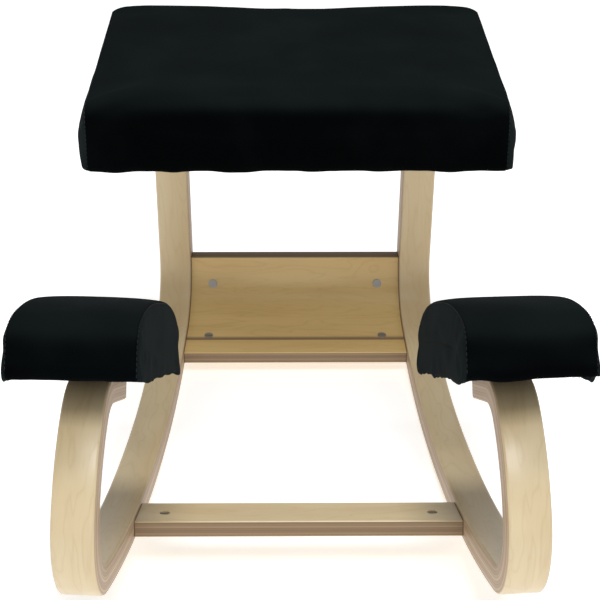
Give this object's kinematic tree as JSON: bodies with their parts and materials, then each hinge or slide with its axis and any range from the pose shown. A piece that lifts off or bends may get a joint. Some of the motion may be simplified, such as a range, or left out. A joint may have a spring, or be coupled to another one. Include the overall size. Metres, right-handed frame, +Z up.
{
  "type": "kneeling chair",
  "caption": "Kneeling chair with bent laminated birch runners that rock, a padded black seat, padded black knee rests, a curved back brace and a low front crossbar.",
  "frame": {"origin": "on the floor, at the middle of the bounding box's bottom face", "axes": "+Z up; -Y is the front, where the knee rests are and the sitter faces; +X is the chair's left-right axis and X = 0 its plane of symmetry"},
  "size_m": [0.4808, 0.7227, 0.4039],
  "materials": {
    "birch_laminate": "satin",
    "birch_brace": "satin",
    "raw_plywood": "matte",
    "foam": "matte",
    "black_velour": "matte",
    "lining": "matte",
    "zinc_steel": "satin"
  },
  "bodies": {
    "root": {"runner_right": "birch_laminate", "runner_left": "birch_laminate", "back_brace": "birch_brace", "front_crossbar": "birch_laminate", "brace_barrel_nuts": "zinc_steel", "brace_bolts": "zinc_steel", "crossbar_barrel_nuts": "zinc_steel", "crossbar_bolts": "zinc_steel", "crossbar_dowels": "raw_plywood", "seat_board": "raw_plywood", "seat_foam": "foam", "seat_cover": "black_velour", "seat_underside_cloth": "lining", "seat_bolts": "zinc_steel", "seat_washers": "zinc_steel", "seat_tee_nuts": "zinc_steel", "right_knee_board": "raw_plywood", "right_knee_foam": "foam", "right_knee_cover": "black_velour", "right_knee_cloth": "lining", "left_knee_board": "raw_plywood", "left_knee_foam": "foam", "left_knee_cover": "black_velour", "left_knee_cloth": "lining", "knee_bolts": "zinc_steel", "knee_washers": "zinc_steel", "knee_tee_nuts": "zinc_steel"}
  },
  "joints": []
}
